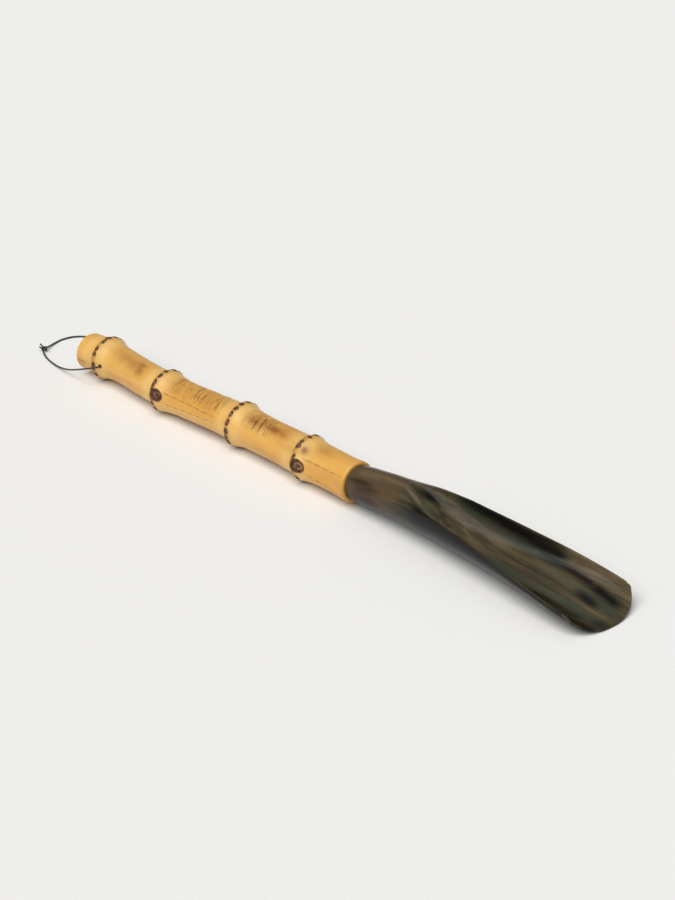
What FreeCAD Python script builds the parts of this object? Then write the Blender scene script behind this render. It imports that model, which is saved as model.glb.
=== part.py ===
import FreeCAD, Part
import math
import os

import Sketcher
from FreeCAD import Placement, Rotation, Vector

# Long shoehorn: a bamboo-root handle, a carved horn blade, the pin that joins them and a
# hanging loop of waxed cord. Millimetres. +X runs from the butt of the handle to the tip of
# the blade, +Z is up, and the shoehorn lies on the plane Z = 0 with the blade's channel
# facing up. The origin is under the middle of the solid pieces' box.

SIZES = [
    ("half_length", 230.0, "half of the way from the butt face to the blade's tip"),
    ("handle_length", 258.0, "butt face to joint face"),
    ("axis_height", 15.0, "handle axis above the ground"),
    ("axis_aside", -4.87, "handle axis beside the middle of the whole, because the blade sweeps to +Y"),
    ("butt_radius", 12.2, "cut end of the root"),
    ("butt_rounding", 0.8, "broken edge of the cut end"),
    ("lip_rise", 2.2, "length of the steep step up to each ring"),
    ("lip_width", 2.4, "length of each ring's crest"),
    ("lip_dome", 0.5, "how far a crest's edges lie below its middle"),
    ("shoulder_run", 6.5, "ring to the shoulder of its flare"),
    ("flare_run", 18.0, "ring to the end of its flare"),
    ("ring_1_at", 19.0, "from the butt"),
    ("ring_1_radius", 14.7, "crest"),
    ("ring_1_foot", 12.6, "radius at the foot of the step"),
    ("ring_1_shoulder", 12.7, "radius at the shoulder"),
    ("ring_1_waist", 11.6, "radius at the end of the flare"),
    ("ring_2_at", 82.0, "from the butt"),
    ("ring_2_radius", 14.4, "crest"),
    ("ring_2_foot", 11.6, "radius at the foot of the step"),
    ("ring_2_shoulder", 13.2, "radius at the shoulder"),
    ("ring_2_waist", 11.9, "radius at the end of the flare"),
    ("ring_3_at", 152.0, "from the butt"),
    ("ring_3_radius", 15.0, "crest"),
    ("ring_3_foot", 12.2, "radius at the foot of the step"),
    ("ring_3_shoulder", 13.5, "radius at the shoulder"),
    ("ring_3_waist", 12.5, "radius at the end of the flare"),
    ("ring_4_at", 215.0, "from the butt"),
    ("ring_4_radius", 15.0, "crest"),
    ("ring_4_foot", 13.1, "radius at the foot of the step"),
    ("ring_4_shoulder", 13.5, "radius at the shoulder"),
    ("ring_4_waist", 12.8, "radius at the end of the flare"),
    ("joint_radius", 13.3, "handle at the joint face"),
    ("joint_rounding", 1.4, "rounded lip of the joint face"),
    ("cord_hole_at", 24.5, "from the butt"),
    ("cord_hole_radius", 1.4, "cross hole for the cord"),
    ("pin_radius", 4.0, "steel joining pin"),
    ("pin_reach", 28.0, "pin each side of the joint face"),
    ("pin_bevel", 0.8, "bevel of the pin's ends"),
    ("groove_depth", 0.4, "glue grooves round the pin"),
    ("groove_width", 1.6, "glue grooves round the pin"),
    ("groove_pitch", 5.0, "from one glue groove to the next"),
    ("bore_radius", 4.4, "blind bores for the pin"),
    ("bore_depth", 29.5, "blind bores, from the joint face"),
    ("glue_line", 0.3, "adhesive between the joint faces"),
    ("glue_line_radius", 10.8, "adhesive between the joint faces"),
    ("sweep_from", 19.0, "where the blade begins to sweep, from the joint"),
    ("sweep_angle", 1.7, "degrees to +Y"),
    ("tip_rounding", 11.0, "length of the rounded tip"),
    ("tip_half_width", 26.3, "where the rounded tip begins"),
    ("cord_diameter", 1.2, "waxed cord"),
    ("knot_radius", 2.4, "overhand knot that closes the loop"),
    ("tail_length", 3.0, "each cut end, from inside the knot"),
]

# The blade's outside, section by section: distance from the joint, half width, and the heights
# above the ground of its widest line, its underside and its top or rim.
BLADE_STATIONS = [
    (0.0, 11.3, 15.0, 3.7, 26.3),
    (28.5, 12.6, 19.0, 3.6, 26.6),
    (57.0, 15.8, 24.0, 3.6, 26.6),
    (90.0, 18.8, 24.4, 3.6, 25.8),
    (123.5, 22.0, 21.7, 3.6, 22.8),
    (157.0, 25.6, 17.6, 2.7, 18.6),
    (185.0, 27.1, 13.4, 1.1, 14.3),
    (206.0, 25.2, 10.4, -0.16, 11.2),
]

# The channel, section by section: distance from the joint, half width, and height of its
# floor above the ground.
CHANNEL_STATIONS = [
    (40.0, 1.2, 26.2),
    (44.0, 5.2, 25.0),
    (50.0, 8.6, 22.8),
    (58.0, 11.7, 19.6),
    (72.0, 14.8, 14.2),
    (90.0, 16.7, 9.4),
    (123.5, 20.3, 6.0),
    (157.0, 24.1, 4.4),
    (185.0, 25.8, 2.5),
    (208.0, 23.8, 1.4),
]

# The cord's free strands, from the mouths of the cross hole to the knot, in the whole
# model's own frame. Both drop to the ground and lie on it.
NEAR_ROUTE = [
    (-205.5, -18.4, 15.0),
    (-205.5, -20.8, 15.0),
    (-207.9, -22.8, 14.4),
    (-213.6, -23.5, 12.2),
    (-223.6, -23.3, 8.0),
    (-233.6, -22.9, 4.3),
    (-245.2, -21.5, 1.5),
    (-257.4, -19.5, 0.7),
    (-267.4, -16.8, 0.7),
    (-273.2, -13.8, 1.4),
]
FAR_ROUTE = [
    (-205.5, 8.7, 15.0),
    (-205.5, 11.7, 15.0),
    (-207.9, 14.4, 13.6),
    (-214.4, 18.3, 9.8),
    (-226.4, 23.6, 4.6),
    (-241.0, 27.0, 1.3),
    (-256.0, 28.0, 0.7),
    (-268.6, 26.3, 0.7),
    (-278.6, 19.0, 0.7),
    (-281.2, 8.6, 0.7),
    (-279.0, -0.6, 0.8),
    (-275.6, -8.2, 1.8),
]
KNOT_AT = (-274.6, -11.5, 2.4)
TAIL_DIRECTIONS = [(-0.94, 0.00, 0.34), (-0.74, -0.66, 0.15)]

BUTT = "0 - half_length"  # where the butt face lies along X
JOINT = "handle_length - half_length"  # where the joint face lies along X
RINGS = (1, 2, 3, 4)
PIN_GROOVES = 4
BEZIER_ROUND = 0.5523  # pole distance that makes a cubic curve follow a quarter ellipse
CHANNEL_TOP = 60.0  # the channel's cutter ends well above the blade
EDGE_DROP = 0.2  # the channel's curved walls turn upright this far below the rim
RUN_SHARE = 0.45  # share of the shorter run that a cord's arc takes

document = FreeCAD.newDocument("long_shoehorn")
sheet = document.addObject("Spreadsheet::Sheet", "Sizes")


def fill_sheet():
    for row, (alias, number, note) in enumerate(SIZES, start=1):
        sheet.set(f"A{row}", alias.replace("_", " "))
        sheet.set(f"B{row}", str(number))
        sheet.setAlias(f"B{row}", alias)
        sheet.set(f"C{row}", note)
    document.recompute()


def size(alias):
    return float(getattr(sheet, alias))


def amount(words):
    """The number that a sum of sizes gives: aliases and numbers with + and - between them."""
    total, sign = 0.0, 1.0
    for word in words.split():
        if word in "+-":
            sign = 1.0 if word == "+" else -1.0
            continue
        total += sign * (size(word) if word[0].isalpha() else float(word))
    return total


def formula(words):
    """The same sum as an expression on the sheet."""
    return " ".join("Sizes." + word if word[0].isalpha() else word for word in words.split())


def new_body(label):
    body = document.addObject("PartDesign::Body", label)
    body.Label = label
    return body


def new_sketch(body, name, role="XZ_Plane"):
    plane = next(f for f in body.Origin.OriginFeatures if f.Role == role)
    sketch = body.newObject("Sketcher::SketchObject", name)
    sketch.AttachmentSupport = [(plane, "")]
    sketch.MapMode = "FlatFace"
    return sketch


def hold(sketch, kind, first, first_point, words):
    """Ties one coordinate of a sketch's point to a sum of sizes."""
    number = sketch.addConstraint(
        Sketcher.Constraint(kind, -1, 1, first, first_point, amount(words))
    )
    sketch.setExpression(f"Constraints[{number}]", formula(words))


def closed_outline(sketch, corners):
    """A closed outline of straight lines, with every corner tied to the sheet."""
    points = [Vector(amount(along), amount(out), 0) for along, out in corners]
    lines = [
        sketch.addGeometry(Part.LineSegment(start, points[(i + 1) % len(points)]), False)
        for i, start in enumerate(points)
    ]
    for i, line in enumerate(lines):
        following = lines[(i + 1) % len(lines)]
        sketch.addConstraint(Sketcher.Constraint("Coincident", line, 2, following, 1))
    for line, (along, out) in zip(lines, corners):
        for kind, words, axis in (("DistanceX", along, -2), ("DistanceY", out, -1)):
            if words == "0":
                sketch.addConstraint(Sketcher.Constraint("PointOnObject", line, 1, axis))
            else:
                hold(sketch, kind, line, 1, words)


def turned(body, name, corners):
    """A solid of revolution about the body's X axis."""
    sketch = new_sketch(body, name + "_outline")
    closed_outline(sketch, corners)
    turn = body.newObject("PartDesign::Revolution", name)
    turn.Profile = sketch
    turn.ReferenceAxis = (sketch, ["H_Axis"])
    turn.Angle = 360.0
    sketch.Visibility = False
    document.recompute()
    return turn


def place(piece, along):
    """Puts a piece on the handle's axis, with its own origin at a sum of sizes along X."""
    for axis, words in (("x", along), ("y", "axis_aside"), ("z", "axis_height")):
        piece.setExpression("Placement.Base." + axis, formula(words))


def ring_corners(ring):
    """One ring of the root: a steep step up, a domed crest and a long flare down."""
    at = f"ring_{ring}_at"
    crest = f"ring_{ring}_radius"
    return [
        (f"{at} - lip_width - lip_rise", f"ring_{ring}_foot"),
        (f"{at} - lip_width", f"{crest} - lip_dome"),
        (at, crest),
        (f"{at} + lip_width", f"{crest} - lip_dome"),
        (f"{at} + shoulder_run", f"ring_{ring}_shoulder"),
        (f"{at} + flare_run", f"ring_{ring}_waist"),
    ]


def make_handle():
    """The root, bored at the joint for the pin and across near the butt for the cord."""
    body = new_body("bamboo_handle")
    corners = [("0", "0"), ("0", "butt_radius - butt_rounding"), ("butt_rounding", "butt_radius")]
    for ring in RINGS:
        corners += ring_corners(ring)
    corners += [
        ("handle_length - joint_rounding", "joint_radius"),
        ("handle_length", "joint_radius - joint_rounding"),
        ("handle_length", "bore_radius"),
        ("handle_length - bore_depth", "bore_radius"),
        ("handle_length - bore_depth", "0"),
    ]
    root = turned(body, "root", corners)
    before = root.Shape.Volume
    sketch = new_sketch(body, "cord_hole_circle")
    circle = sketch.addGeometry(
        Part.Circle(Vector(size("cord_hole_at"), 0, 0), Vector(0, 0, 1), size("cord_hole_radius")),
        False,
    )
    hold(sketch, "DistanceX", circle, 3, "cord_hole_at")
    sketch.addConstraint(Sketcher.Constraint("PointOnObject", circle, 3, -1))
    radius = sketch.addConstraint(Sketcher.Constraint("Radius", circle, size("cord_hole_radius")))
    sketch.setExpression(f"Constraints[{radius}]", formula("cord_hole_radius"))
    hole = body.newObject("PartDesign::Pocket", "cord_hole")
    hole.Profile = sketch
    hole.SideType = "Symmetric"
    hole.Type = "ThroughAll"
    sketch.Visibility = False
    document.recompute()
    removed = before - body.Shape.Volume
    least = math.pi * size("cord_hole_radius") ** 2 * 1.8 * size("butt_radius")
    if removed < least:
        raise ValueError(f"the cord's hole removes {removed:.1f} cubic mm, not {least:.1f}")
    place(body, BUTT)
    return body


def pin_corners():
    """The pin's outside from its handle end to its blade end, with its glue grooves."""
    corners = [("0", "pin_radius - pin_bevel"), ("pin_bevel", "pin_radius")]
    for half in ("0", "pin_reach"):
        at = f"{half} + groove_pitch"
        for _ in range(PIN_GROOVES):
            corners += [
                (at, "pin_radius"),
                (f"{at} + groove_depth", "pin_radius - groove_depth"),
                (f"{at} + groove_width - groove_depth", "pin_radius - groove_depth"),
                (f"{at} + groove_width", "pin_radius"),
            ]
            at += " + groove_pitch"
    corners += [
        ("pin_reach + pin_reach - pin_bevel", "pin_radius"),
        ("pin_reach + pin_reach", "pin_radius - pin_bevel"),
    ]
    return corners


def make_pin():
    """The steel pin, half in the handle and half in the blade's neck."""
    body = new_body("joining_pin")
    turned(body, "pin", [("0", "0")] + pin_corners() + [("pin_reach + pin_reach", "0")])
    place(body, JOINT + " - pin_reach")
    return body


def make_adhesive():
    """The adhesive that the joint holds: a sleeve round the pin and a film between the faces."""
    body = new_body("joint_adhesive")
    inside = pin_corners()[1:-1]
    outside = [
        ("pin_reach + pin_reach - pin_bevel", "bore_radius"),
        ("pin_reach + glue_line", "bore_radius"),
        ("pin_reach + glue_line", "glue_line_radius"),
        ("pin_reach", "glue_line_radius"),
        ("pin_reach", "bore_radius"),
        ("pin_bevel", "bore_radius"),
    ]
    turned(body, "adhesive", inside + outside)
    place(body, JOINT + " - pin_reach")
    return body


def aside(along):
    """How far the blade's middle has swept to +Y at a distance from the joint."""
    beyond = max(0.0, along - size("sweep_from"))
    return beyond * math.tan(math.radians(size("sweep_angle")))


def quarter(start, end, corner):
    """A quarter of an ellipse from start to end, inside the right angle at corner."""
    curve = Part.BezierCurve()
    curve.setPoles([
        start,
        start + (corner - start) * BEZIER_ROUND,
        end + (corner - end) * BEZIER_ROUND,
        end,
    ])
    return curve.toShape()


def blade_point(along, side, height):
    """A point of the blade in its own frame, whose origin is on the handle's axis."""
    return Vector(along, aside(along) + side, height - size("axis_height"))


def blade_section(along, half_width, widest, underside, top):
    """A closed section of the blade's outside, an oval that is deeper below than above."""
    right, left = blade_point(along, half_width, widest), blade_point(along, -half_width, widest)
    crest, keel = blade_point(along, 0, top), blade_point(along, 0, underside)
    return Part.Wire([
        quarter(right, crest, blade_point(along, half_width, top)),
        quarter(crest, left, blade_point(along, -half_width, top)),
        quarter(left, keel, blade_point(along, -half_width, underside)),
        quarter(keel, right, blade_point(along, half_width, underside)),
    ])


def top_surface(along, side):
    """Height of the blade's uncut top at a distance from the joint and from its middle."""
    for before, after in zip(BLADE_STATIONS, BLADE_STATIONS[1:]):
        if along <= after[0]:
            break
    share = (along - before[0]) / (after[0] - before[0])
    half_width, widest, _, top = (a + (b - a) * share for a, b in zip(before[1:], after[1:]))
    across = min(1.0, side / half_width)
    return widest + (top - widest) * math.sqrt(1.0 - across * across)


def channel_section(along, half_width, floor):
    """A closed section of what the channel removes, open well above the blade."""
    edge = max(top_surface(along, half_width) - EDGE_DROP, floor + EDGE_DROP)
    right, left = blade_point(along, half_width, edge), blade_point(along, -half_width, edge)
    bottom = blade_point(along, 0, floor)
    high_right = blade_point(along, half_width, CHANNEL_TOP)
    high_left = blade_point(along, -half_width, CHANNEL_TOP)
    return Part.Wire([
        quarter(left, bottom, blade_point(along, -half_width, floor)),
        quarter(bottom, right, blade_point(along, half_width, floor)),
        Part.makeLine(right, high_right),
        Part.makeLine(high_right, high_left),
        Part.makeLine(high_left, left),
    ])


def tip_outline(reach):
    """What the blade's rounded tip keeps: everything up to the tip's start and an oval beyond."""
    start = reach - size("tip_rounding")
    wide, high = 2 * CHANNEL_TOP, 2 * CHANNEL_TOP
    behind = Part.makeBox(start, wide, high, Vector(0, -wide / 2, -high / 2))
    oval = Part.Ellipse(
        Vector(start, aside(start) + size("tip_half_width"), -high / 2),
        Vector(reach, aside(start), -high / 2),
        Vector(start, aside(start), -high / 2),
    )
    cap = Part.Face(Part.Wire([oval.toShape()])).extrude(Vector(0, 0, high))
    return behind.fuse(cap)


def make_blade():
    """The horn blade: a solid round neck that opens into a channel with a rounded tip."""
    reach = 2 * size("half_length") - size("handle_length")
    blade = document.addObject("Part::Feature", "horn_blade")
    blade.Label = "horn_blade"
    outside = Part.makeLoft([blade_section(*row) for row in BLADE_STATIONS], True, False)
    channel = Part.makeLoft([channel_section(*row) for row in CHANNEL_STATIONS], True, False)
    wide = CHANNEL_TOP
    seat = Part.makeBox(size("glue_line"), wide, wide, Vector(0, -wide / 2, -wide / 2))
    bore = Part.makeCylinder(
        size("bore_radius"), size("bore_depth"), Vector(0, 0, 0), Vector(1, 0, 0)
    )
    shape = outside.common(tip_outline(reach)).cut(channel).cut(seat).cut(bore)
    blade.Shape = shape.Solids[0]
    place(blade, JOINT)
    return blade


def rounded_path(points, label):
    """Straight runs joined by tangent arcs, and the length of the whole."""
    corners = [Vector(*p) for p in points]
    edges, radii, start = [], [], corners[0]
    for before, corner, after in zip(corners, corners[1:], corners[2:]):
        back, ahead = before - corner, after - corner
        cut = RUN_SHARE * min(back.Length, ahead.Length)
        turn = math.pi - back.getAngle(ahead)
        radius = cut / math.tan(turn / 2)
        radii.append(radius)
        back.normalize()
        ahead.normalize()
        first, last = corner + back * cut, corner + ahead * cut
        toward = (back + ahead).normalize()
        middle = corner + toward * (radius / math.cos(turn / 2) - radius)
        edges += [Part.LineSegment(start, first).toShape(), Part.Arc(first, middle, last).toShape()]
        start = last
    edges.append(Part.LineSegment(start, corners[-1]).toShape())
    print(label, "arc radii", " ".join(f"{r:.1f}" for r in radii))
    return Part.Wire(edges)


def tube(points, diameter, label):
    """A round cord along a route."""
    path = rounded_path(points, label)
    heading = Vector(*points[1]) - Vector(*points[0])
    ring = Part.Wire([Part.makeCircle(diameter / 2, Vector(*points[0]), heading)])
    solid = path.makePipeShell([ring], True, False)
    expected = math.pi * diameter**2 / 4 * path.Length
    print(label, f"length {path.Length:.1f} volume {solid.Volume:.1f} expected {expected:.1f}")
    if abs(solid.Volume - expected) > 0.02 * expected:
        raise ValueError(f"{label} has the wrong volume")
    return solid


def make_strand(label, route):
    strand = document.addObject("Part::Feature", label)
    strand.Label = label
    strand.Shape = tube(route, size("cord_diameter"), label)
    strand.Placement = Placement()
    return strand


def make_cord_in_bore():
    """The straight length of the cord inside the handle's cross hole."""
    cord = document.addObject("Part::Cylinder", "cord_in_bore")
    cord.Label = "cord_in_bore"
    cord.setExpression("Radius", "Sizes.cord_diameter / 2")
    span = FAR_ROUTE[0][1] - NEAR_ROUTE[0][1]
    cord.Height = span
    cord.Placement = Placement(Vector(*NEAR_ROUTE[0]), Rotation(Vector(1, 0, 0), -90))
    return cord


def make_knot():
    """The outer form of the overhand knot that both strands run into."""
    knot = document.addObject("Part::Sphere", "cord_knot")
    knot.Label = "cord_knot"
    knot.setExpression("Radius", "Sizes.knot_radius")
    knot.Placement = Placement(Vector(*KNOT_AT), Rotation())
    return knot


def make_tails():
    """The cord's two cut ends, which stick out of the knot away from the loop."""
    tails = document.addObject("Part::Feature", "knot_tails")
    tails.Label = "knot_tails"
    ends = []
    for direction in TAIL_DIRECTIONS:
        way = Vector(*direction).normalize()
        start = Vector(*KNOT_AT) + way * (size("knot_radius") - 0.5)
        ends.append(Part.makeCylinder(size("cord_diameter") / 2, size("tail_length"), start, way))
    tails.Shape = Part.makeCompound(ends)
    tails.Placement = Placement()
    return tails


def check(pieces):
    document.recompute()
    for item in document.Objects:
        bad = [word for word in item.State if word in ("Invalid", "Error")]
        if bad:
            raise ValueError(f"{item.Label} is {bad}")
    for piece in pieces:
        if piece.Shape.isNull() or not piece.Shape.isValid():
            raise ValueError(f"{piece.Label} has no valid shape")
        box = piece.Shape.BoundBox
        print(
            f"{piece.Label:16s} volume {piece.Shape.Volume:10.1f}  x {box.XMin:8.2f} {box.XMax:8.2f}"
            f"  y {box.YMin:7.2f} {box.YMax:7.2f}  z {box.ZMin:6.2f} {box.ZMax:6.2f}"
        )


fill_sheet()
pieces = [
    make_handle(),
    make_pin(),
    make_adhesive(),
    make_blade(),
    make_cord_in_bore(),
    make_strand("near_strand", NEAR_ROUTE),
    make_strand("far_strand", FAR_ROUTE),
    make_knot(),
    make_tails(),
]
check(pieces)
os.makedirs("parts", exist_ok=True)
for piece in pieces:
    piece.Shape.exportStep(f"parts/{piece.Label}.step")
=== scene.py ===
import math

import bmesh
import bpy
import numpy as np
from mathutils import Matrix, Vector


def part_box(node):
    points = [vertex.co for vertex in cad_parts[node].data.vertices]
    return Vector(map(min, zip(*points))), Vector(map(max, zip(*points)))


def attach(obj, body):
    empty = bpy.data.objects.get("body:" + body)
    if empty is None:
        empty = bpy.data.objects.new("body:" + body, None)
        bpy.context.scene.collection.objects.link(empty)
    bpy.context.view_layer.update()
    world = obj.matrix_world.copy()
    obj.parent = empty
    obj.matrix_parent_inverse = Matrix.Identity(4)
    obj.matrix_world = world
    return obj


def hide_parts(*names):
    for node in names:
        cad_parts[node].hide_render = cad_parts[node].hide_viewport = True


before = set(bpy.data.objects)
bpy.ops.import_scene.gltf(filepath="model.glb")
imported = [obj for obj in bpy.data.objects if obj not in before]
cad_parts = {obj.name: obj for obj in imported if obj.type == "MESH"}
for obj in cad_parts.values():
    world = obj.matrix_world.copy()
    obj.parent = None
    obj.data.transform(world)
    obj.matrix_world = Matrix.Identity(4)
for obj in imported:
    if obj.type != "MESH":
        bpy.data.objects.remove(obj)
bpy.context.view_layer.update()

# A bamboo-root shoehorn with a horn blade. Lengths below are millimetres, turned into the
# scene's metres by MM. Angles round the handle are degrees from its top towards the side
# that faces the camera (-Y), so 90 is the near side and 270 the far one.

MM = 0.001
DICE = np.random.default_rng(7)

HANDLE_LOW, HANDLE_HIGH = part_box("bamboo_handle")
BLADE_LOW, BLADE_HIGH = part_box("horn_blade")
BUTT_X = HANDLE_LOW[0] / MM
JOINT_X = HANDLE_HIGH[0] / MM
AXIS_Y = (HANDLE_LOW[1] + HANDLE_HIGH[1]) / 2 / MM
AXIS_Z = (HANDLE_LOW[2] + HANDLE_HIGH[2]) / 2 / MM
HANDLE_LENGTH = JOINT_X - BUTT_X
BLADE_REACH = BLADE_HIGH[0] / MM - JOINT_X

# ---------------------------------------------------------------- camera, floor and light

CAMERA_AT = (1074.2, -990.4, 775.4)
CAMERA_AIM = (-33.1, 34.8, 0.0)
CAMERA_LENS = 108.0
CAMERA_SENSOR = 36.0
FLOOR_HALF = 4000.0
KEY_FROM = (0.12, -0.52, 0.85)
KEY_STRENGTH = 2.95
KEY_SPREAD = 60.0
AIR = [(0.0, 0.60), (0.14, 0.42), (0.32, 0.15), (0.7, 0.20), (1.0, 0.45)]  # height, brightness


def make_camera():
    data = bpy.data.cameras.new("camera")
    data.lens = CAMERA_LENS
    data.sensor_width = CAMERA_SENSOR
    data.clip_end = 20.0
    camera = bpy.data.objects.new("camera", data)
    camera.location = Vector(CAMERA_AT) * MM
    aim = (Vector(CAMERA_AIM) - Vector(CAMERA_AT)).to_track_quat("-Z", "Y")
    camera.rotation_euler = aim.to_euler()
    bpy.context.collection.objects.link(camera)
    bpy.context.scene.camera = camera


def make_studio():
    mesh = bpy.data.meshes.new("floor")
    half = FLOOR_HALF * MM
    corners = [(-half, -half, 0), (half, -half, 0), (half, half, 0), (-half, half, 0)]
    mesh.from_pydata(corners, [], [(0, 1, 2, 3)])
    floor = bpy.data.objects.new("floor", mesh)
    bpy.context.collection.objects.link(floor)
    look = Look("studio_floor", Roughness=0.9)
    grain = look.add("ShaderNodeTexNoise", Vector=look.place(), Scale=900.0, Detail=3.0)
    look.shader_link("Base Color", look.ramp(grain["Fac"], [
        (0.3, (0.80, 0.80, 0.79)),
        (0.7, (0.84, 0.84, 0.83)),
    ]))
    floor.data.materials.append(look.material)
    bpy.context.scene.view_settings.view_transform = "Standard"
    make_air()
    make_key()


def make_air():
    """The studio round the object: a bright cove low down, dim walls and a pale ceiling."""
    world = bpy.data.worlds.new("studio_air")
    world.use_nodes = True
    nodes, links = world.node_tree.nodes, world.node_tree.links
    where = nodes.new("ShaderNodeTexCoord")
    split = nodes.new("ShaderNodeSeparateXYZ")
    ramp = nodes.new("ShaderNodeValToRGB")
    links.new(where.outputs["Generated"], split.inputs["Vector"])
    links.new(split.outputs["Z"], ramp.inputs["Fac"])
    links.new(ramp.outputs["Color"], nodes["Background"].inputs["Color"])
    while len(ramp.color_ramp.elements) < len(AIR):
        ramp.color_ramp.elements.new(0.5)
    for element, (height, grey) in zip(ramp.color_ramp.elements, AIR):
        element.position = height
        element.color = (grey * 0.98, grey * 0.99, grey, 1.0)
    bpy.context.scene.world = world


def make_key():
    data = bpy.data.lights.new("key", "SUN")
    data.energy = KEY_STRENGTH
    data.angle = math.radians(KEY_SPREAD)
    data.color = (1.0, 0.985, 0.96)
    light = bpy.data.objects.new("key", data)
    light.rotation_euler = Vector(KEY_FROM).to_track_quat("Z", "Y").to_euler()
    bpy.context.collection.objects.link(light)


# ---------------------------------------------------------------- helpers


class Look:
    """A material's node tree, built a node at a time around its Principled shader."""

    def __init__(self, name, **values):
        self.material = bpy.data.materials.new(name)
        self.material.use_nodes = True
        self.tree = self.material.node_tree
        self.shader = self.tree.nodes["Principled BSDF"]
        for socket, value in values.items():
            self.shader.inputs[socket.replace("_", " ")].default_value = value

    def add(self, kind, settings=None, **inputs):
        node = self.tree.nodes.new(kind)
        for setting, value in (settings or {}).items():
            setattr(node, setting, value)
        for socket, value in inputs.items():
            self.feed(node.inputs[socket], value)
        return node.outputs

    def feed(self, socket, value):
        if isinstance(value, bpy.types.NodeSocket):
            self.tree.links.new(value, socket)
        elif isinstance(value, tuple) and len(value) == 3 and socket.type == "RGBA":
            socket.default_value = (*value, 1.0)
        else:
            socket.default_value = value

    def shader_link(self, socket, value):
        self.tree.links.new(value, self.shader.inputs[socket])

    def place(self, stretch=(1.0, 1.0, 1.0)):
        """Object coordinates in metres, stretched along each axis."""
        where = self.add("ShaderNodeTexCoord")["Object"]
        node = self.tree.nodes.new("ShaderNodeMapping")
        self.tree.links.new(where, node.inputs["Vector"])
        node.inputs["Scale"].default_value = stretch
        return node.outputs["Vector"]

    def mask(self, name):
        return self.add("ShaderNodeAttribute", {"attribute_name": name})["Fac"]

    def maths(self, operation, first, second=0.0):
        node = self.tree.nodes.new("ShaderNodeMath")
        node.operation = operation
        node.use_clamp = operation in ("MULTIPLY", "ADD", "SUBTRACT")
        self.feed(node.inputs[0], first)
        self.feed(node.inputs[1], second)
        return node.outputs[0]

    def ramp(self, factor, stops):
        node = self.tree.nodes.new("ShaderNodeValToRGB")
        self.tree.links.new(factor, node.inputs["Fac"])
        while len(node.color_ramp.elements) < len(stops):
            node.color_ramp.elements.new(0.5)
        for element, (position, colour) in zip(node.color_ramp.elements, stops):
            element.position = position
            element.color = (*colour, 1.0) if isinstance(colour, tuple) else (colour,) * 3 + (1.0,)
        return node.outputs["Color"]

    def mix(self, first, second, factor, blend="MIX"):
        node = self.tree.nodes.new("ShaderNodeMix")
        node.data_type = "RGBA"
        node.blend_type = blend
        for index, value in ((0, factor), (6, first), (7, second)):
            self.feed(node.inputs[index], value)
        return node.outputs[2]

    def bump(self, height, distance, strength=1.0):
        node = self.add("ShaderNodeBump", Height=height, Distance=distance, Strength=strength)
        self.shader_link("Normal", node["Normal"])


def smooth_curve(points):
    """A smooth function through points that never overshoots between two of them."""
    xs, ys = np.array(points, float).T
    steps = np.diff(ys) / np.diff(xs)
    slopes = np.zeros(len(xs))
    slopes[0], slopes[-1] = steps[0], steps[-1]
    same = steps[:-1] * steps[1:] > 0
    slopes[1:-1][same] = (2 * steps[:-1] * steps[1:] / (steps[:-1] + steps[1:] + 1e-12))[same]

    def curve(x):
        x = np.clip(np.asarray(x, float), xs[0], xs[-1])
        i = np.clip(np.searchsorted(xs, x) - 1, 0, len(xs) - 2)
        span = xs[i + 1] - xs[i]
        t = (x - xs[i]) / span
        return (
            ys[i] * (1 + 2 * t) * (1 - t) ** 2
            + slopes[i] * span * t * (1 - t) ** 2
            + ys[i + 1] * t * t * (3 - 2 * t)
            - slopes[i + 1] * span * t * t * (1 - t)
        )

    return curve


def ease(x):
    """0 below 0, 1 above 1 and a smooth step between."""
    x = np.clip(x, 0.0, 1.0)
    return x * x * (3 - 2 * x)


def hill(distance):
    return np.exp(-distance * distance)


def turn_between(angle, middle):
    """The signed turn in degrees from one angle round the handle to another."""
    return (angle - middle + 180.0) % 360.0 - 180.0


def ripple(along, around, seed, waves=9, finest=3.0):
    """Smooth unevenness between about -1 and 1, from a few sine waves; lengths in mm."""
    dice = np.random.default_rng(seed)
    total = np.zeros(np.broadcast(along, around).shape)
    for _ in range(waves):
        heading, length = dice.uniform(0, math.pi), dice.uniform(finest, 4 * finest)
        phase = dice.uniform(0, 2 * math.pi)
        way = math.cos(heading) * along + math.sin(heading) * around
        total += np.sin(way * 2 * math.pi / length + phase)
    return total / math.sqrt(waves)


def skin(name, rings, masks, material):
    """A closed mesh over rings of points, given as an array of rings x points x 3 in mm."""
    count, around = rings.shape[:2]
    index = np.arange(count * around).reshape(count, around)
    beside = np.roll(index, -1, axis=1)
    quads = np.stack([index[:-1], beside[:-1], beside[1:], index[1:]], axis=-1).reshape(-1, 4)
    faces = quads.tolist() + [index[0, ::-1].tolist(), index[-1].tolist()]
    mesh = bpy.data.meshes.new(name)
    mesh.from_pydata((rings.reshape(-1, 3) * MM).tolist(), [], faces)
    for label, values in masks.items():
        layer = mesh.attributes.new(label, "FLOAT", "POINT")
        layer.data.foreach_set("value", np.ascontiguousarray(values, np.float32).reshape(-1))
    solid = bmesh.new()
    solid.from_mesh(mesh)
    bmesh.ops.recalc_face_normals(solid, faces=solid.faces)
    solid.to_mesh(mesh)
    solid.free()
    mesh.polygons.foreach_set("use_smooth", [True] * len(mesh.polygons))
    mesh.materials.append(material)
    piece = bpy.data.objects.new(name, mesh)
    bpy.context.collection.objects.link(piece)
    return piece


# ---------------------------------------------------------------- bamboo handle

BORE_RADIUS = 4.4
BORE_DEPTH = 29.5
CORD_HOLE_AT = 24.5
CORD_HOLE_RADIUS = 1.4
AROUND = 240
ALONG_STEP = 0.45

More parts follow.
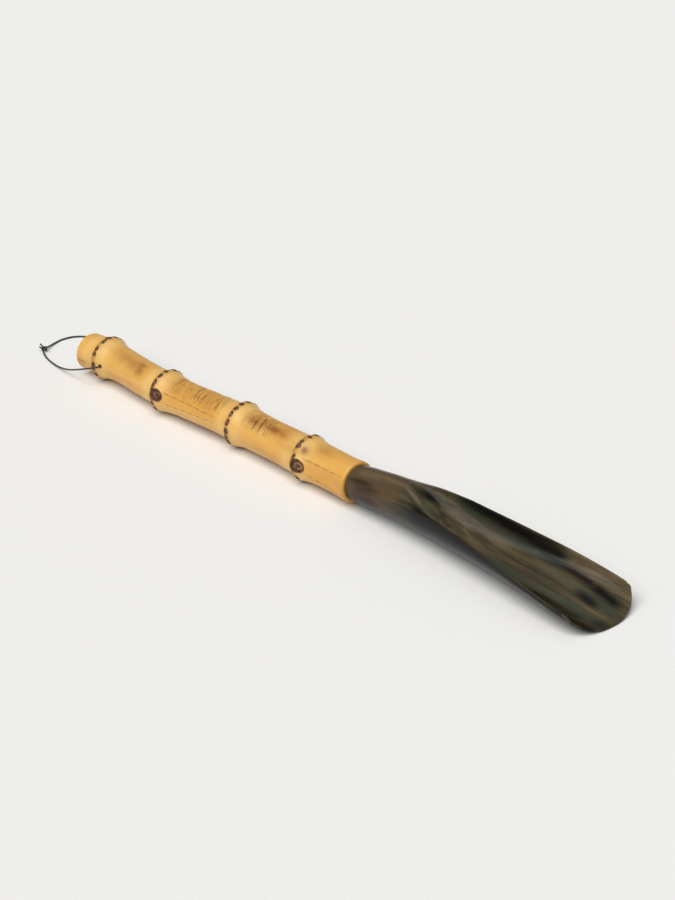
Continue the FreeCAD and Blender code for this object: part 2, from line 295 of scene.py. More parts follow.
# Each ring: place from the butt, crest radius, foot, shoulder and waist radii, the angle of
# its bud and the bud's radius. Every ring gets SCARS_PER_RING root scars.
RINGS = [
    {"at": 19.0, "crest": 14.6, "foot": 12.5, "shoulder": 12.5, "waist": 11.6, "bud": 262, "scar": 5.0},
    {"at": 82.6, "crest": 14.3, "foot": 11.7, "shoulder": 12.7, "waist": 11.8, "bud": 80, "scar": 5.0},
    {"at": 153.0, "crest": 14.9, "foot": 12.3, "shoulder": 13.0, "waist": 12.4, "bud": 268, "scar": 4.8},
    {"at": 215.0, "crest": 14.9, "foot": 13.1, "shoulder": 13.3, "waist": 12.8, "bud": 88, "scar": 5.4},
]
SCARS_PER_RING = 17
# Toasted patches: place from the butt, angle, length, width in degrees, strength.
TOASTED = [
    (44, 28, 14, 22, 0.55), (60, 40, 7, 17, 0.85), (60, 14, 6, 12, 0.5), (112, 30, 20, 30, 0.30),
    (130, 18, 12, 30, 0.3), (171, 26, 8, 24, 0.85), (190, 26, 11, 18, 0.95), (205, 50, 7, 16, 0.35),
    (220, 40, 3.0, 12, 1.1), (232, 14, 10, 22, 0.45), (50, 205, 15, 40, 0.6), (118, 190, 18, 35, 0.5),
    (182, 215, 14, 40, 0.7), (238, 200, 9, 35, 0.5),
]
# Patches of fine wrinkles across the grain: start, end, lowest and highest angle, strength.
WRINKLED = [(91, 144, -30, 62, 0.8), (160, 190, -25, 62, 1.0), (34, 60, 180, 240, 0.6)]


# What is painted on the root, each as a vertex attribute from 0 to 1.
ROOT_MASKS = (
    "scar", "core", "bud", "petal", "crease", "flat", "toast", "pale", "edge", "band", "wrinkle",
)

# Colours of the root, linear.
GOLD = (0.69, 0.400, 0.105)
HONEY = (0.67, 0.350, 0.072)
HONEY_DEEP = (0.64, 0.305, 0.052)
AMBER = (0.54, 0.255, 0.042)
STRAW = (0.76, 0.490, 0.165)
TOAST = (0.29, 0.110, 0.022)
UMBER = (0.30, 0.115, 0.022)
BARK = (0.110, 0.042, 0.014)
CHAR = (0.030, 0.013, 0.007)
SCAR_CORE = (0.300, 0.150, 0.060)


def handle_radius():
    points = [(0.0, 12.2), (9.0, 12.4)]
    for ring in RINGS:
        at = ring["at"]
        points += [
            (at - 4.2, ring["foot"]),
            (at - 2.0, ring["crest"] - 0.25),
            (at - 0.9, ring["crest"]),
            (at + 1.2, ring["crest"] - 0.45),
            (at + 4.5, (ring["crest"] + ring["shoulder"]) / 2 - 0.35),
            (at + 8.5, ring["shoulder"] - 0.25),
            (at + 18.0, ring["waist"]),
            (at + 32.0, ring["waist"] - 0.05),
        ]
    points += [(HANDLE_LENGTH, 13.3)]
    return smooth_curve(sorted(points))


def groove(along, angle, masks, ring, reach, low, high):
    """The flat that runs towards the blade from a bud, with a crease along each edge."""
    start = ring["at"] + 4.0
    grown = ease((along - start) / 6.0) * ease((start + reach - along) / 22.0)
    spread = ease((along - start) / reach)
    low_edge, high_edge = low[0] + (low[1] - low[0]) * spread, high[0] + (high[1] - high[0]) * spread
    middle, half = (low_edge + high_edge) / 2, (high_edge - low_edge) / 2
    across = turn_between(angle, middle)
    inside = ease((half - np.abs(across)) / 4.0 + 0.5)
    bend = np.radians(np.clip(across, -half, half))
    flat = 1.0 - np.cos(np.radians(half)) / np.cos(bend)
    dent = inside * grown * (np.clip(flat, 0, 1) * 13.0 + 0.12)
    for edge, strength in ((low_edge, 1.0), (high_edge, 0.8)):
        wander = 0.5 * np.sin(along * 0.21) + 0.3 * np.sin(along * 0.6 + 1.0)
        line = hill(turn_between(angle, edge + wander) / 1.5) * grown * strength
        broken = 0.65 + 0.35 * np.sin(along * 0.9 + strength * 5)
        dent = dent + 0.22 * line
        masks["crease"] = np.maximum(masks["crease"], line * broken)
    masks["flat"] = np.maximum(masks["flat"], inside * grown)
    return dent


def make_handle():
    """The root as one closed skin: butt face, ringed outside, joint face and blind bore."""
    outside = np.arange(0.8, HANDLE_LENGTH - 1.4, ALONG_STEP)
    corner = np.linspace(0, math.pi / 2, 6)
    radius = handle_radius()
    butt_edge, lip = float(radius(0.8)), float(radius(HANDLE_LENGTH - 1.4))
    profile = [(0.0, r, 0) for r in (0.6, 3.0, 5.5, 8.0, 10.0)]
    profile += [(0.8 - 0.8 * math.cos(a), butt_edge - 0.8 + 0.8 * math.sin(a), 0) for a in corner[:-1]]
    profile += [(float(s), float(radius(s)), 1) for s in outside]
    profile += [
        (HANDLE_LENGTH - 1.4 + 1.4 * math.sin(a), lip - 1.4 + 1.4 * math.cos(a), 0) for a in corner[1:]
    ]
    profile += [(HANDLE_LENGTH, r, 2) for r in (11.2, 9.0, 6.5, BORE_RADIUS)]
    profile += [(HANDLE_LENGTH - d, BORE_RADIUS, 2) for d in np.linspace(2, BORE_DEPTH, 8)]
    profile += [(HANDLE_LENGTH - BORE_DEPTH, r, 2) for r in (2.5, 0.6)]
    profile = np.array(profile)
    along, base, zone = (profile[:, k][:, None] for k in range(3))
    angle = np.linspace(0, 360, AROUND, endpoint=False)[None, :]
    arc = np.radians(angle) * 13.0
    seen = (zone == 1).astype(float)
    blank = np.zeros((len(profile), AROUND))
    masks = {name: blank.copy() for name in ROOT_MASKS}
    size = base + 0 * angle
    size = size + seen * (0.10 * ripple(along, arc, 3, finest=14) + 0.035 * ripple(along, arc, 4, finest=4))
    for number, ring in enumerate(RINGS):
        at = ring["at"]
        near_ring = hill((along - at) / 2.2)
        size = size + seen * near_ring * 0.22 * ripple(along * 0, arc, 20 + number, finest=5)
        masks["pale"] = np.maximum(masks["pale"], hill((along - at - 5.0) / 6.5))
        masks["pale"] = np.maximum(masks["pale"], 0.8 * hill((along - at + 9.0) / 5.0))
        uneven = 0.62 + 0.38 * ripple(0 * along, arc, 30 + number, finest=5)
        masks["edge"] = np.maximum(masks["edge"], hill((along - at + 2.0) / 0.6) * uneven)
        masks["band"] = np.maximum(masks["band"], hill((along - at + 0.4) / 1.9))
        rough_edge = ripple(along, arc, 60 + number, waves=12, finest=1.4)
        for k in range(SCARS_PER_RING):
            middle = (k + DICE.uniform(-0.28, 0.28)) * 360 / SCARS_PER_RING
            half_wide, half_long = DICE.uniform(1.1, 1.9), DICE.uniform(0.9, 1.45)
            place = at - 0.2 + DICE.uniform(-0.5, 0.5)
            sideways = np.radians(turn_between(angle, middle)) * ring["crest"]
            far = np.hypot((along - place) / half_long, sideways / half_wide) + 0.16 * rough_edge
            near_bud = abs(float(turn_between(middle, ring["bud"]))) < 20
            strength = 0.35 if near_bud else 1.0
            size = size + seen * strength * (0.32 * hill((far - 1.0) / 0.45) - 0.42 * hill(far / 0.7))
            masks["scar"] = np.maximum(masks["scar"], strength * ease((1.55 - far) / 0.5))
            masks["core"] = np.maximum(masks["core"], strength * ease((0.8 - far) / 0.5))
        bud_at = at + 3.2
        sideways = np.radians(turn_between(angle, ring["bud"])) * ring["crest"]
        far = np.hypot((along - bud_at), sideways) / ring["scar"]
        rough = ripple(along, arc, 40 + number, waves=14, finest=1.1)
        bowl = ease((1.08 - far) / 0.25)
        size = size + seen * (0.5 * hill((far - 1.0) / 0.16) - bowl * (0.55 - 0.22 * rough))
        masks["bud"] = np.maximum(masks["bud"], bowl)
        leaf = np.hypot((along - bud_at) * 0.9 - 0.6, sideways * 1.15 + 0.4) / ring["scar"]
        masks["petal"] = np.maximum(masks["petal"], bowl * ease(1 - np.abs(leaf - 0.42) / 0.3))
    dent = groove(along, angle, masks, RINGS[1], 60.0, (64, 72), (99, 92))
    dent = dent + groove(along, angle, masks, RINGS[3], 46.0, (62, 60), (106, 118))
    dent = dent + groove(along, angle, masks, RINGS[0], 52.0, (240, 246), (282, 276))
    dent = dent + groove(along, angle, masks, RINGS[2], 50.0, (246, 250), (288, 282))
    size = size - seen * dent
    streak = hill(turn_between(angle, 97 + along * 0.5) / 2.2) * ease((11 - along) / 4)
    masks["crease"] = np.maximum(masks["crease"], 0.8 * streak)
    for place, middle, length, width, strength in TOASTED:
        patch = hill(np.hypot((along - place) / length, turn_between(angle, middle) / width))
        masks["toast"] = masks["toast"] + strength * patch
    for start, end, low, high, strength in WRINKLED:
        inside = ease((along - start) / 6) * ease((end - along) / 8)
        inside = inside * ease((turn_between(angle, low)) / 18) * ease(-turn_between(angle, high) / 14)
        masks["wrinkle"] = np.maximum(masks["wrinkle"], strength * inside)
    lean_y = smooth_curve([(0, -1.5), (19, 0), (82, -3.0), (153, 0.0), (215, 0.0), (258, -0.3)])
    lean_z = smooth_curve([(0, -0.6), (19, 0.0), (82, -0.5), (153, 0.2), (215, 0.0), (258, 0.0)])
    straight = (zone == 2).astype(float)
    across = AXIS_Y + (1 - straight) * lean_y(along) - size * np.sin(np.radians(angle))
    height = AXIS_Z + (1 - straight) * lean_z(along) + size * np.cos(np.radians(angle))
    height = np.maximum(height, 0.02)
    rings = np.stack([BUTT_X + along + 0 * angle, across, height], axis=-1)
    masks = {k: v * seen for k, v in masks.items()}
    masks["end_grain"] = (1 - seen) * (along < 1.0) + 0 * angle
    handle = skin("root_handle", rings, masks, bamboo_look())
    bore_for_cord(handle)
    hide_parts("bamboo_handle")
    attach(handle, "shoehorn")


def bore_for_cord(handle):
    """Cuts the cross hole through the handle, and leaves no modifier behind."""
    solid = bmesh.new()
    bmesh.ops.create_cone(
        solid, cap_ends=True, segments=32, radius1=CORD_HOLE_RADIUS * MM, radius2=CORD_HOLE_RADIUS * MM,
        depth=60 * MM,
    )
    bmesh.ops.rotate(solid, verts=solid.verts, matrix=Vector((0, 0, 1)).rotation_difference(
        Vector((0, 1, 0))).to_matrix())
    centre = Vector((BUTT_X + CORD_HOLE_AT, AXIS_Y, AXIS_Z)) * MM
    bmesh.ops.translate(solid, verts=solid.verts, vec=centre)
    tool_mesh = bpy.data.meshes.new("drill")
    solid.to_mesh(tool_mesh)
    solid.free()
    tool = bpy.data.objects.new("drill", tool_mesh)
    bpy.context.collection.objects.link(tool)
    cut = handle.modifiers.new("cord_hole", "BOOLEAN")
    cut.operation = "DIFFERENCE"
    cut.solver = "EXACT"
    cut.object = tool
    bpy.context.view_layer.update()
    evaluated = handle.evaluated_get(bpy.context.evaluated_depsgraph_get())
    drilled = bpy.data.meshes.new_from_object(evaluated)
    handle.modifiers.clear()
    handle.data = drilled
    bpy.data.objects.remove(tool)


def bamboo_look():
    look = Look(
        "polished_bamboo_root",
        Roughness=0.36,
        Specular_IOR_Level=0.3,
        Coat_Weight=0.06,
        Coat_Roughness=0.15,
    )

    def noise(stretch, detail=3.0):
        return look.add("ShaderNodeTexNoise", Vector=look.place(stretch), Scale=1.0, Detail=detail)["Fac"]

    def between(value, low, high):
        return look.ramp(value, [(low, 0.0), (high, 1.0)])

    def times(first, second):
        return look.maths("MULTIPLY", first, second)

    cloud, fibre = noise((22, 60, 60)), noise((45, 900, 900), 4.0)
    broad, specks = noise((14, 260, 260), 2.0), noise((700, 700, 700), 2.0)
    mottle = noise((120, 160, 160), 3.0)
    colour = look.ramp(cloud, [(0.30, GOLD), (0.52, HONEY), (0.75, AMBER)])
    colour = look.mix(colour, STRAW, times(look.mask("pale"), 0.75))
    colour = look.mix(colour, STRAW, times(between(broad, 0.50, 0.75), 0.30))
    colour = look.mix(colour, HONEY_DEEP, times(look.mask("flat"), 0.45))
    toast = times(look.mask("toast"), look.ramp(mottle, [(0.30, 0.45), (0.65, 1.0)]))
    colour = look.mix(colour, TOAST, times(toast, 1.15))
    colour = look.mix(colour, UMBER, times(between(fibre, 0.55, 0.85), 0.35))
    wrinkles = noise((1050, 130, 130), 4.0)
    cracks = times(look.mask("wrinkle"), between(wrinkles, 0.52, 0.57))
    colour = look.mix(colour, BARK, times(cracks, 0.7))
    colour = look.mix(colour, BARK, times(between(specks, 0.70, 0.76), 0.5))
    colour = look.mix(colour, UMBER, times(look.mask("band"), 0.55))
    colour = look.mix(colour, BARK, times(look.mask("edge"), 0.85))
    colour = look.mix(colour, BARK, times(look.mask("crease"), 0.85))
    patchy = look.ramp(specks, [(0.38, CHAR), (0.62, BARK)])
    colour = look.mix(colour, patchy, look.mask("bud"))
    colour = look.mix(colour, SCAR_CORE, times(look.mask("petal"), between(mottle, 0.40, 0.55)))
    colour = look.mix(colour, look.ramp(specks, [(0.35, CHAR), (0.75, BARK)]), look.mask("scar"))
    colour = look.mix(colour, SCAR_CORE, times(look.mask("core"), between(specks, 0.35, 0.65)))
    pores = look.add("ShaderNodeTexVoronoi", Vector=look.place((0, 1300, 1300)), Scale=1.0)["Distance"]
    colour = look.mix(colour, look.ramp(pores, [(0.10, UMBER), (0.45, STRAW)]), look.mask("end_grain"))
    look.shader_link("Base Color", colour)
    dull = look.maths("ADD", times(look.mask("scar"), 0.3), times(look.mask("bud"), 0.35))
    look.shader_link("Roughness", look.maths("ADD", dull, look.ramp(fibre, [(0.3, 0.30), (0.8, 0.44)])))
    height = look.maths("SUBTRACT", look.maths("ADD", times(fibre, 0.3), 0.5), times(cracks, 0.6))
    look.bump(height, 0.12 * MM, 0.8)
    return look.material


# ---------------------------------------------------------------- horn blade

SWEEP_FROM, SWEEP_SLOPE = 19.0, math.tan(math.radians(1.7))
TIP_ROUNDING, TIP_HALF_WIDTH = 14.5, 26.9
SCOOP_FROM = 40.0
SEAT = 0.3  # the adhesive film between the joint faces

# The blade's outside: place from the joint, half width, widest line, underside and top.
BLADE_STATIONS = [
    (0, 11.3, 15.0, 3.7, 26.3),
    (14, 12.0, 17.6, 4.1, 28.3),
    (28.5, 12.9, 20.5, 4.6, 29.5),
    (57, 15.9, 25.6, 4.4, 29.5),
    (74, 17.4, 25.9, 4.1, 28.2),
    (90, 18.8, 24.8, 3.8, 26.3),
    (123.5, 22.0, 21.7, 3.8, 22.6),
    (157, 25.6, 17.6, 3.5, 18.4),
    (185, 27.1, 13.4, 1.3, 14.1),
    (206, 25.2, 10.4, -0.1, 11.0),
]
HALF_WIDTH, WIDEST, UNDERSIDE, TOP = (
    smooth_curve([(row[0], row[column]) for row in BLADE_STATIONS]) for column in (1, 2, 3, 4)
)
# The channel: place from the joint, half width and height of its floor.
CHANNEL_STATIONS = [
    (40, 0.5, 29.5),
    (41.5, 3.4, 29.1),
    (44, 5.5, 28.2),
    (50, 8.7, 25.6),
    (58, 11.7, 21.7),
    (72, 15.0, 15.1),
    (90, 16.9, 9.7),
    (123.5, 20.4, 6.1),
    (157, 24.2, 5.1),
    (185, 25.9, 2.7),
    (206, 24.1, 1.4),
]
CHANNEL_HALF, CHANNEL_FLOOR = (
    smooth_curve([(row[0], row[column]) for row in CHANNEL_STATIONS]) for column in (1, 2)
)
UNDER_POINTS, LAND_POINTS, FLOOR_POINTS = 96, 12, 84


def aside(along):
    return AXIS_Y + np.maximum(0, along - SWEEP_FROM) * SWEEP_SLOPE


def blade_ring(along, thin):
    """One section of the blade: under the near rim to the far rim, then back over the channel."""
    half, widest = float(HALF_WIDTH(along)), float(WIDEST(along))
    under, top = float(UNDERSIDE(along)), float(TOP(along))
    start = BLADE_REACH - TIP_ROUNDING
    share = min(1.0, max(0.0, (along - start) / TIP_ROUNDING))
    kept = TIP_HALF_WIDTH * math.sqrt(max(0.0, 1 - share * share)) if share > 0 else half
    kept = min(kept, half)
    turn = math.acos(kept / half)
    angle = np.linspace(turn, math.pi - turn, UNDER_POINTS)
    below = np.stack([-half * np.cos(angle), widest - (widest - under) * np.sin(angle)], -1)
    inner = min(float(CHANNEL_HALF(along)), half - 0.9)
    opened = ease((along - SCOOP_FROM) / 3.0)

    def dome(side):
        return widest + (top - widest) * np.sqrt(np.maximum(0, 1 - (side / half) ** 2))

    reach = min(inner, max(kept - 0.35, 0.0))
    turn_in = math.acos(min(1.0, reach / inner))
    angle = np.linspace(turn_in, math.pi - turn_in, FLOOR_POINTS)
    side = inner * np.cos(angle)
    edge = float(dome(inner))
    cut = edge - (edge - float(CHANNEL_FLOOR(along))) * np.sin(angle)
    above = np.stack([side, dome(side) * (1 - opened) + cut * opened], -1)
    lands = []
    for sign in (1.0, -1.0):
        first = below[-1] if sign > 0 else above[-1]
        last = above[0] if sign > 0 else below[0]
        t = np.linspace(0, 1, LAND_POINTS + 2)[1:-1, None]
        if turn > 0.0 or along > 90:
            line = first + (last - first) * t
            out = np.array([sign, 0.35])
            bulge = 0.5 * np.linalg.norm(last - first) * np.sqrt(np.maximum(0, 1 - (2 * t - 1) ** 2))
            lands.append(line + out * bulge * (0.45 if turn > 0 else 0.30))
        else:
            theta_first = math.acos(max(-1, min(1, abs(first[0]) / half)))
            theta_last = math.acos(max(-1, min(1, abs(last[0]) / half)))
            theta = theta_first + (theta_last - theta_first) * t[:, 0]
            lands.append(np.stack([sign * half * np.cos(theta), widest + (top - widest) * np.sin(theta)], -1))
    loop = np.concatenate([below, lands[0], above, lands[1]])
    if thin < 1.0:
        partner = np.interp(below[:, 0], above[::-1, 0], above[::-1, 1])
        centre = (below[:, 1] + partner) / 2
        level = np.interp(loop[:, 0], below[:, 0], centre)
        loop[:, 1] = level + (loop[:, 1] - level) * thin
    return np.column_stack([np.full(len(loop), along), loop])


def soften(rings, weight, passes):
    """Rounds sharp corners by moving points towards their neighbours where weight says so."""
    for _ in range(passes):
        round_ring = (np.roll(rings, 1, axis=1) + np.roll(rings, -1, axis=1)) / 2
        rings = rings + (round_ring - rings) * weight * 0.5
        length = rings.copy()
        length[1:-1] = (rings[:-2] + rings[2:]) / 2
        rings = rings + (length - rings) * weight * 0.25
    return rings


def make_blade():
    """The horn as one closed skin: blind bore, joint face, round neck, channel and tip."""
    fine = np.arange(SEAT, BLADE_REACH - TIP_ROUNDING, 0.5)
    tip = BLADE_REACH - TIP_ROUNDING + TIP_ROUNDING * np.sin(np.linspace(0, math.pi / 2, 44))[:-1]
    stations = np.concatenate([fine, tip])
    thinness = np.sqrt(np.clip(1 - (1 - np.clip((BLADE_REACH - stations) / 0.7, 0, 1)) ** 2, 0.02, 1))
    rings = np.stack([blade_ring(s, t) for s, t in zip(stations, thinness)])
    count = rings.shape[1]
    weight = np.zeros((len(rings), count, 1))
    corner_low = UNDER_POINTS + LAND_POINTS
    corner_high = corner_low + FLOOR_POINTS
    for corner in (corner_low, corner_high):
        spots = (np.arange(corner - 9, corner + 9)) % count
        weight[:, spots, 0] = hill((np.arange(corner - 9, corner + 9) - corner + 0.5) / 5.0)
    weight *= ease((stations - SCOOP_FROM + 3) / 3.0)[:, None, None]
    weight[:2], weight[-2:] = 0, 0
    rings = soften(rings, weight, 6)
    masks = paint_horn(rings)
    rings[:, :, 1] += aside(rings[:, :, 0])
    first = rings[0].copy()
    spread = first[:, 1:] - np.array([AXIS_Y, AXIS_Z])
    away = spread / np.linalg.norm(spread, axis=1, keepdims=True)
    inside = []
    for depth, radius in [(BORE_DEPTH, 0.8), (BORE_DEPTH, 2.6)] + [
        (d, BORE_RADIUS) for d in np.linspace(BORE_DEPTH, SEAT, 7)
    ]:
        ring = np.column_stack([np.full(count, depth), np.array([AXIS_Y, AXIS_Z]) + away * radius])
        inside.append(ring)
    face = [first + (inside[-1] - first) * share for share in (0.66, 0.33, 0.06)]
    rings = np.concatenate([np.stack(inside + face), rings])
    rings[:, :, 0] += JOINT_X
    extra = len(inside) + len(face)
    masks = {k: np.concatenate([np.repeat(v[:1], extra, axis=0), v]) for k, v in masks.items()}
    blade = skin("carved_horn_blade", rings, masks, horn_look())
    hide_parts("horn_blade")
    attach(blade, "shoehorn")


# Broad marks in the horn: from and to along the blade, side at each end (-1 near rim, 1 far
# rim), width, strength. They run right through it; past the neck the outside gets painted
# blue-black shade, which hides them.
# The third (46 to 63, scoop's far side) is a painted reflection; the rest are dark streaks.
DARK_MARKS_AND_REFLECTION = [
    (2, 24, -0.82, -0.80, 0.09, 0.7), (8, 30, -0.97, -0.93, 0.06, 0.6), (46, 63, 0.22, 0.46, 0.20, 1.0),
    (60, 150, 0.93, 0.86, 0.10, 0.95), (128, 176, 0.80, 0.66, 0.09, 0.9), (168, 196, 0.68, 0.52, 0.13, 1.0),
    (165, 186, 0.34, 0.22, 0.13, 0.9), (58, 205, -0.93, -0.62, 0.24, 0.95),
    (95, 190, -0.66, -0.40, 0.16, 0.8), (190, 206, -0.30, -0.25, 0.30, 0.7),
]
GREEN_MARKS = [
    (38, 70, -0.20, -0.30, 0.34, 0.9), (55, 110, -0.35, -0.20, 0.16, 0.7), (70, 150, 0.84, 0.72, 0.10, 0.9),
    (100, 200, -0.12, -0.20, 0.14, 0.9), (140, 200, 0.50, 0.30, 0.12, 0.8),
]
# Painted highlights: the first three (neck top, scoop's near slope). The fifth paints light
# shining through the thin far rim near the tip; the fourth and sixth are pale streaks.
PALE_AND_HIGHLIGHT_MARKS = [
    (4, 46, -0.40, -0.10, 0.20, 0.65), (39, 60, -0.13, -0.24, 0.12, 1.0), (56, 72, -0.26, -0.30, 0.07, 0.8),
    (90, 170, 0.30, 0.15, 0.34, 0.22), (140, 204, 0.98, 0.90, 0.16, 0.7), (165, 200, 0.16, 0.05, 0.10, 0.4),
]


# Colours of the horn, linear.
OLIVE_DARK = (0.026, 0.024, 0.014)
OLIVE = (0.066, 0.052, 0.027)
OLIVE_LIGHT = (0.100, 0.080, 0.045)
GREEN_HORN = (0.042, 0.056, 0.040)
NECK_HORN = (0.088, 0.056, 0.030)
# Tan for pale streaks, painted highlights and painted light through the thin tip.
TAN_AND_HIGHLIGHT_HORN = (0.165, 0.125, 0.070)
BLACK_HORN = (0.005, 0.005, 0.005)
# Painted shade: the base colour of the horn's outside and of the neck's underside.
SHADE_BLUE_BLACK = (0.006, 0.007, 0.007)


def paint_horn(rings):
    """How dark, green and light the horn is at each point, from the marks above (painted
    highlights and a painted reflection among them), and where painted shade covers it.
    """
    along = rings[:, :, 0]
    side = rings[:, :, 1] / HALF_WIDTH(along)
    masks = {}
    for label, marks in (("dark", DARK_MARKS_AND_REFLECTION), ("green", GREEN_MARKS), ("light", PALE_AND_HIGHLIGHT_MARKS)):
        total = np.zeros(along.shape)
        for start, end, side_start, side_end, width, strength in marks:
            share = np.clip((along - start) / (end - start), 0, 1)
            centre = side_start + (side_end - side_start) * share
            fade = ease((along - start + 4) / 12) * ease((end + 4 - along) / 12)
            total = np.maximum(total, strength * fade * hill((side - centre) / width))
        masks[label] = total
    # unshaded: 1 on the channel side and the neck's top; elsewhere painted blue-black shade.
    inner = np.zeros(along.shape)
    inner[:, UNDER_POINTS + 2:] = 1.0
    neck = ease((SCOOP_FROM + 30 - along) / 45) * ease((rings[:, :, 2] - 8) / 8)
    masks["unshaded"] = np.maximum(inner, neck)
    masks["neck"] = ease((SCOOP_FROM + 14 - along) / 22)
    return masks


def horn_look():
    look = Look(
        "polished_horn",
        Roughness=0.14,
        Specular_IOR_Level=0.10,
        Coat_Weight=0.03,
        Coat_Roughness=0.05,
    )

    def noise(stretch, detail):
        return look.add("ShaderNodeTexNoise", Vector=look.place(stretch), Scale=1.0, Detail=detail)["Fac"]

    def times(first, second):
        return look.maths("MULTIPLY", first, second)

    streak, fine = noise((9, 260, 260), 5.0), noise((30, 1100, 1100), 3.0)
    smoke = noise((16, 90, 90), 3.0)
    colour = look.ramp(streak, [(0.32, OLIVE_DARK), (0.50, OLIVE), (0.70, OLIVE_LIGHT)])
    drift = look.ramp(smoke, [(0.35, 0.5), (0.6, 1.0)])
    colour = look.mix(colour, GREEN_HORN, times(look.mask("green"), drift))
    colour = look.mix(colour, NECK_HORN, times(look.mask("neck"), 0.9))
    grained = look.ramp(streak, [(0.35, 0.45), (0.6, 1.0)])
    # Painted highlights and light through the thin tip, with pale streaks, in tan.
    colour = look.mix(colour, TAN_AND_HIGHLIGHT_HORN, times(look.mask("light"), grained))
    # Dark streaks, and the painted reflection where the scoop starts.
    colour = look.mix(colour, BLACK_HORN, look.mask("dark"))
    # Painted shade: the outside and the neck's underside turn blue-black.
    colour = look.mix(SHADE_BLUE_BLACK, colour, look.mask("unshaded"))
    threads = look.ramp(fine, [(0.55, 0.0), (0.75, 1.0)])
    colour = look.mix(colour, BLACK_HORN, times(threads, 0.35))
    look.shader_link("Base Color", colour)
    look.bump(fine, 0.02 * MM, 0.25)
    return look.material


# ---------------------------------------------------------------- cord

CORD = 1.2
CORD_BLACK = (0.006, 0.007, 0.008)
CORD_GREY = (0.030, 0.031, 0.034)
NEAR_ROUTE = [
    (-205.5, -18.4, 15.0), (-205.5, -20.8, 15.0), (-207.9, -22.8, 14.4), (-213.6, -23.5, 12.2),
    (-223.6, -23.3, 8.0), (-233.6, -22.9, 4.3), (-245.2, -21.5, 1.5), (-257.4, -19.5, 0.7),
    (-267.4, -16.8, 0.7), (-273.2, -13.8, 1.4),
]
FAR_ROUTE = [
    (-205.5, 8.7, 15.0), (-205.5, 11.7, 15.0), (-207.9, 14.4, 13.6), (-214.4, 18.3, 9.8),
    (-226.4, 23.6, 4.6), (-241.0, 27.0, 1.3), (-256.0, 28.0, 0.7), (-268.6, 26.3, 0.7),
    (-278.6, 19.0, 0.7), (-281.2, 8.6, 0.7), (-279.0, -0.6, 0.8), (-275.6, -8.2, 1.8),
]
KNOT_AT = (-274.6, -11.5, 2.4)
TAILS = [((-0.94, 0.00, 0.34), 4.8), ((-0.74, -0.66, 0.15), 3.9)]


def smooth_line(route, detail=16):
    """Points along the NURBS curve that has a route's points as its controls, in mm."""
    data = bpy.data.curves.new("line", "CURVE")
    data.dimensions = "3D"
    data.resolution_u = detail
    spline = data.splines.new("NURBS")
    spline.points.add(len(route) - 1)
    for point, place in zip(spline.points, route):
        point.co = (*place, 1.0)
    spline.order_u = 3
    spline.use_endpoint_u = True
    carrier = bpy.data.objects.new("line", data)
    mesh = bpy.data.meshes.new_from_object(carrier)
    line = np.array([v.co for v in mesh.vertices])
    bpy.data.meshes.remove(mesh)
    bpy.data.objects.remove(carrier)
    return line


def even_steps(line, step):
    done = np.concatenate([[0], np.cumsum(np.linalg.norm(np.diff(line, axis=0), axis=1))])
    at = np.linspace(0, done[-1], max(3, int(done[-1] / step)))
    return np.stack([np.interp(at, done, line[:, k]) for k in range(3)], axis=1), at


def cord_mesh(name, line, material, radius=CORD / 2, step=0.3, around=18, taper=None):
    """A laid cord along a line: three twisted strands under wax."""
    points, at = even_steps(line, step)
    ahead = np.gradient(points, axis=0)
    ahead /= np.linalg.norm(ahead, axis=1, keepdims=True)
    side = np.cross(ahead[0], (0.0, 0.0, 1.0))
    if np.linalg.norm(side) < 0.1:
        side = np.cross(ahead[0], (1.0, 0.0, 0.0))
    angle = np.linspace(0, 2 * math.pi, around, endpoint=False)
    rings = []
    for point, way, distance in zip(points, ahead, at):
        side = side - way * side.dot(way)
        side = side / np.linalg.norm(side)
        up = np.cross(way, side)
        twist = angle - distance * 2 * math.pi / 3.6
        size = radius * (0.95 + 0.05 * np.abs(np.sin(1.5 * twist)))
        if taper:
            size = size * taper(distance / at[-1])
        rings.append(point + np.outer(np.cos(angle) * size, side) + np.outer(np.sin(angle) * size, up))
    return skin(name, np.array(rings), {}, material)


def cord_look():
    look = Look("waxed_cord", Roughness=0.42, Sheen_Weight=0.15)
    hair = look.add("ShaderNodeTexNoise", Vector=look.place((2600, 2600, 2600)), Scale=1.0, Detail=3.0)["Fac"]
    look.shader_link("Base Color", look.ramp(hair, [(0.35, CORD_BLACK), (0.75, CORD_GREY)]))
    look.bump(hair, 0.05 * MM, 0.6)
    return look.material


def sealed_end(share):
    """The thickness of a cut end along its length, with a melted bead just before the tip."""
    return 1.0 + 0.25 * ease((share - 0.7) / 0.15) - 0.5 * ease((share - 0.9) / 0.1)


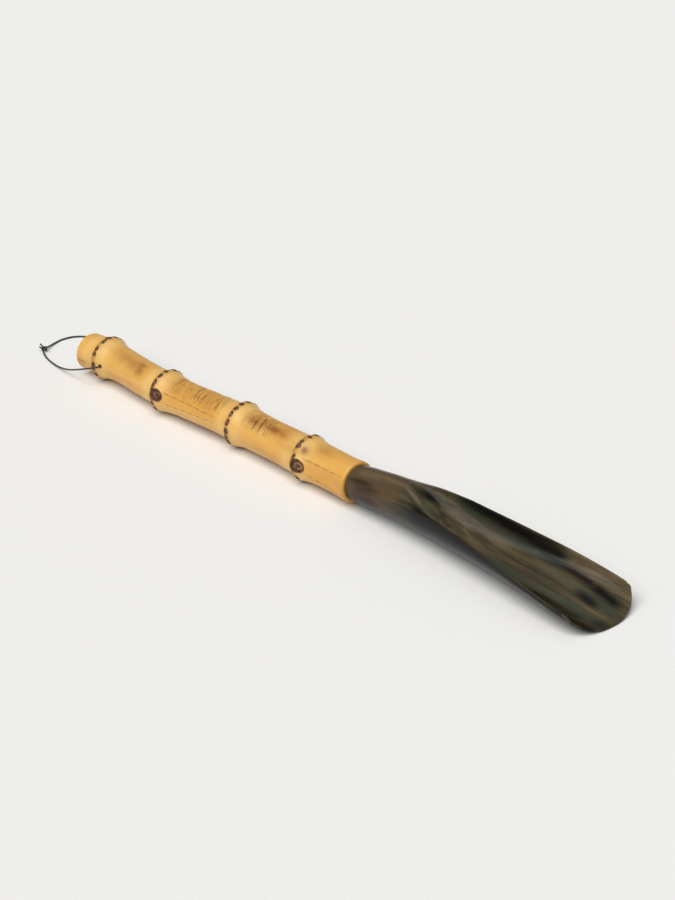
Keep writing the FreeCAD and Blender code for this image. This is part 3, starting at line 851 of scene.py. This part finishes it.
def make_cord():
    material = cord_look()
    near_line, far_line = smooth_line(NEAR_ROUTE), smooth_line(FAR_ROUTE)
    near = cord_mesh("near_cord", near_line, material)
    far = cord_mesh("far_cord", far_line, material)
    through = cord_mesh("cord_through_root", np.array([NEAR_ROUTE[0], FAR_ROUTE[0]]), material)
    t = np.linspace(0, 2 * math.pi, 160)[:-1]
    coil = np.stack([
        (2 + np.cos(3 * t)) * np.cos(2 * t),
        (2 + np.cos(3 * t)) * np.sin(2 * t),
        1.25 * np.sin(3 * t),
    ], -1) * 0.62
    lean = Vector((0, 0, 1)).rotation_difference(Vector((-0.55, 0.25, 0.8)).normalized()).to_matrix()
    coil = coil @ np.array(lean).T + np.array(KNOT_AT)
    coil = np.concatenate([coil, coil[:1]])
    knot = cord_mesh("overhand_knot", coil, material, radius=0.62)
    ends = []
    for number, (direction, length) in enumerate(TAILS):
        way = Vector(direction).normalized()
        start = Vector(KNOT_AT) + way * 1.2
        bend = Vector((0.1, 0.25 if number else -0.2, 0.25))
        line = np.array([start + way * (length - 1.2) * s + bend * s * s for s in np.linspace(0, 1, 9)])
        name = f"cord_end_{number + 1}"
        ends.append(cord_mesh(name, line, material, radius=0.5, taper=sealed_end))
    for piece, node in (
        (near, "near_strand"),
        (far, "far_strand"),
        (through, "cord_in_bore"),
        (knot, "cord_knot"),
    ):
        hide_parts(node)
    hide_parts("knot_tails")
    for piece in (near, far, through, knot, *ends):
        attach(piece, "cord_loop")


# ---------------------------------------------------------------- hidden joint


def joint_looks():
    steel = Look("turned_steel", Metallic=1.0, Roughness=0.34)
    lines = steel.add("ShaderNodeTexNoise", Vector=steel.place((2400, 40, 40)), Scale=1.0, Detail=2.0)["Fac"]
    steel.shader_link("Base Color", steel.ramp(lines, [(0.3, (0.42, 0.42, 0.43)), (0.7, (0.62, 0.62, 0.63))]))
    steel.bump(lines, 0.02 * MM, 0.5)
    glue = Look("amber_epoxy", Roughness=0.3)
    cloudy = glue.add("ShaderNodeTexNoise", Vector=glue.place((300, 300, 300)), Scale=1.0, Detail=2.0)["Fac"]
    amber = glue.ramp(cloudy, [(0.3, (0.030, 0.018, 0.008)), (0.7, (0.080, 0.045, 0.018))])
    glue.shader_link("Base Color", amber)
    for node, look in (("joining_pin", steel), ("joint_adhesive", glue)):
        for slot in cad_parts[node].material_slots:
            slot.material = look.material


make_camera()
make_studio()
make_cord()
make_handle()
make_blade()
joint_looks()
